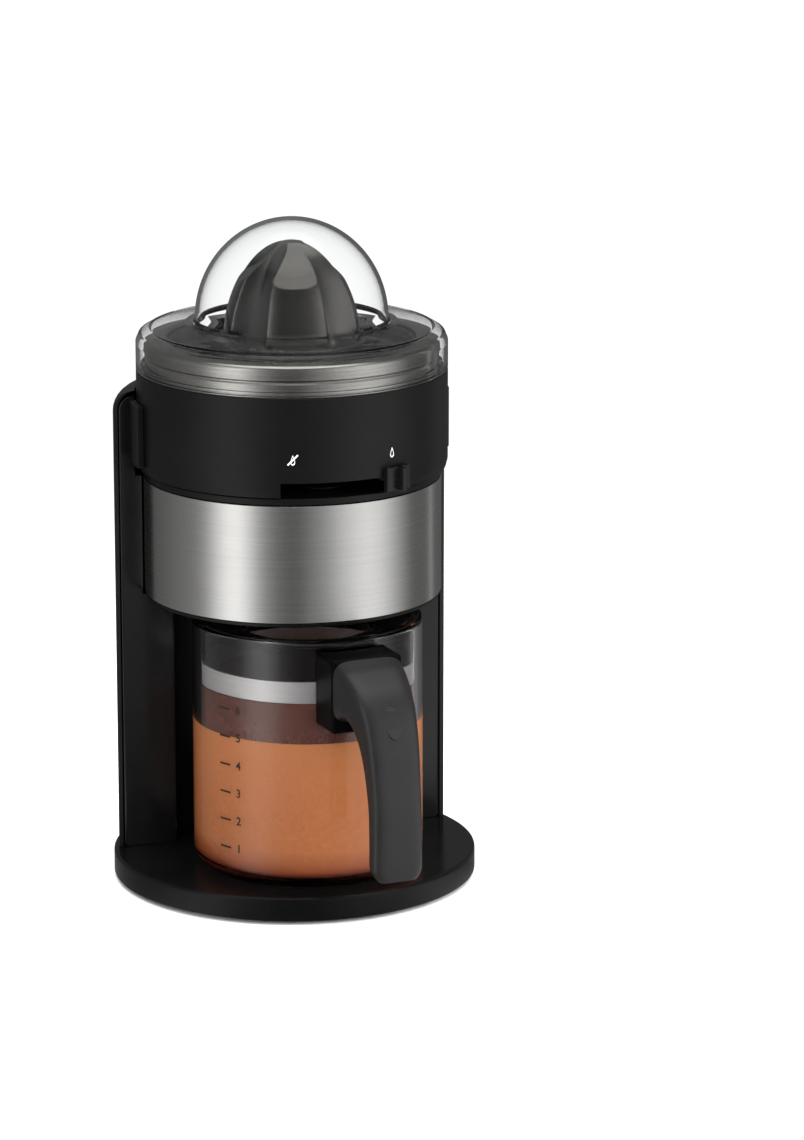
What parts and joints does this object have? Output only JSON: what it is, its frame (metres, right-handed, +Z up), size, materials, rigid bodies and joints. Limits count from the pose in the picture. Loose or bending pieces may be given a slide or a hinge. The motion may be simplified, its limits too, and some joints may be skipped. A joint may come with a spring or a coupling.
{
  "type": "citrus press juicer",
  "caption": "Countertop electric citrus press with ribbed cone, clear dust cover, drip-stop reservoir and a handled clear jug under the motor housing.",
  "frame": {"origin": "centre of the bounding box's plan at the level of the feet", "axes": "+Z up, -Y towards the front where the jug slides out, +X to the right seen from the front"},
  "size_m": [0.191, 0.2465, 0.35],
  "materials": {
    "satin_black": "satin moulded plastic",
    "gloss_black": "polished",
    "charcoal": "semi-gloss moulded plastic",
    "brushed_steel": "brushed",
    "bright_steel": "bright",
    "rubber": "matte",
    "nylon": "natural nylon",
    "switch_red": "moulded",
    "clear_plastic": "clear polished",
    "smoky_plastic": "smoky translucent"
  },
  "bodies": {
    "stand": {"base_shell": "gloss_black", "base_plate": "satin_black", "base_screw_1": "bright_steel", "base_screw_2": "bright_steel", "base_screw_3": "bright_steel", "foot_1": "rubber", "foot_2": "rubber", "foot_3": "rubber", "foot_4": "rubber", "column_front": "gloss_black", "rear_cover": "satin_black", "rear_cover_screw_1": "bright_steel", "rear_cover_screw_2": "bright_steel", "cord_gland": "rubber", "housing_body": "satin_black", "housing_floor": "satin_black", "motor_band": "brushed_steel", "upper_deck": "satin_black", "juice_duct": "satin_black", "spindle_bush": "nylon", "spindle_seal": "rubber", "motor_can": "bright_steel", "motor_end_plate": "nylon", "gearbox_plate": "brushed_steel", "gear_axle": "bright_steel", "micro_switch": "satin_black"},
    "motor_rotor": {"motor_rotor": "bright_steel", "motor_pinion": "nylon"},
    "compound_gear": {"compound_gear": "nylon"},
    "output_gear": {"output_gear": "nylon"},
    "press_pad": {"thrust_cap": "nylon", "return_spring": "bright_steel"},
    "spindle": {"drive_spindle": "bright_steel"},
    "reamer": {"reamer_cone": "charcoal", "cone_insert": "nylon", "pulp_sweeper": "charcoal"},
    "switch_button": {"switch_button": "switch_red"},
    "reservoir": {"reservoir": "satin_black", "reservoir_lug_left": "satin_black", "reservoir_lug_right": "satin_black", "gate_retainer": "nylon"},
    "drip_stop": {"drip_stop_gate": "charcoal", "drip_stop_knob": "satin_black"},
    "strainer": {"strainer_collar": "brushed_steel", "strainer_basket": "charcoal"},
    "dust_cover": {"dust_cover": "clear_plastic"},
    "jug": {"jug_body": "clear_plastic", "jug_band": "brushed_steel", "handle_bracket": "satin_black", "handle_grip": "satin_black", "handle_cap": "gloss_black", "handle_screw_1": "bright_steel", "handle_screw_2": "bright_steel"},
    "jug_lid": {"jug_lid": "smoky_plastic"}
  },
  "joints": [
    {"name": "cone_press", "type": "slide", "parent": "stand", "child": "press_pad", "axis": [0, 0, -1], "range_m": [0, 0.0025], "stiffness_N_per_m": 400, "springref_m": -0.02, "deforming": ["return_spring"]},
    {"name": "cone_turn", "type": "hinge", "parent": "press_pad", "child": "spindle", "pos_m": [0, 0.02485, 0.25], "axis": [0, 0, 1], "continuous": true},
    {"name": "output_gear_turn", "type": "hinge", "parent": "stand", "child": "output_gear", "pos_m": [0, 0.02485, 0.205], "axis": [0, 0, 1], "continuous": true},
    {"name": "compound_gear_turn", "type": "hinge", "parent": "stand", "child": "compound_gear", "pos_m": [0.0195, 0.05085, 0.198], "axis": [0, 0, 1], "continuous": true},
    {"name": "motor_turn", "type": "hinge", "parent": "stand", "child": "motor_rotor", "pos_m": [0, 0.06485, 0.18], "axis": [0, 0, 1], "continuous": true},
    {"name": "switch_button_press", "type": "slide", "parent": "stand", "child": "switch_button", "axis": [0, 0, -1], "range_m": [0, 0.0025]},
    {"name": "reservoir_lift", "type": "slide", "parent": "stand", "child": "reservoir", "axis": [0, 0, 1], "range_m": [0, 0.032]},
    {"name": "drip_stop_turn", "type": "hinge", "parent": "reservoir", "child": "drip_stop", "pos_m": [0, 0.02485, 0.226], "axis": [0, 0, 1], "range_deg": [-38, 0]},
    {"name": "strainer_lift", "type": "slide", "parent": "reservoir", "child": "strainer", "axis": [0, 0, 1], "range_m": [0, 0.032]},
    {"name": "cover_lift", "type": "slide", "parent": "reservoir", "child": "dust_cover", "axis": [0, 0, 1], "range_m": [0, 0.128]},
    {"name": "cone_lift", "type": "slide", "parent": "spindle", "child": "reamer", "axis": [0, 0, 1], "range_m": [0, 0.096]},
    {"name": "jug_slide", "type": "slide", "parent": "stand", "child": "jug", "axis": [0, -1, 0], "range_m": [0, 0.17]},
    {"name": "lid_turn", "type": "hinge", "parent": "jug", "child": "jug_lid", "pos_m": [0, -0.00065, 0.14], "axis": [0, 0, 1], "range_deg": [0, 90]}
  ],
  "couplings": [
    {"joint": "output_gear_turn", "follows": "cone_turn", "ratio": 1},
    {"joint": "compound_gear_turn", "follows": "cone_turn", "ratio": -3.3333},
    {"joint": "motor_turn", "follows": "cone_turn", "ratio": 10},
    {"joint": "switch_button_press", "follows": "cone_press", "ratio": 1},
    {"joint": "reservoir_lift", "follows": "cover_lift", "ratio": 0.25},
    {"joint": "strainer_lift", "follows": "cover_lift", "ratio": 0.25},
    {"joint": "cone_lift", "follows": "cover_lift", "ratio": 0.75}
  ]
}
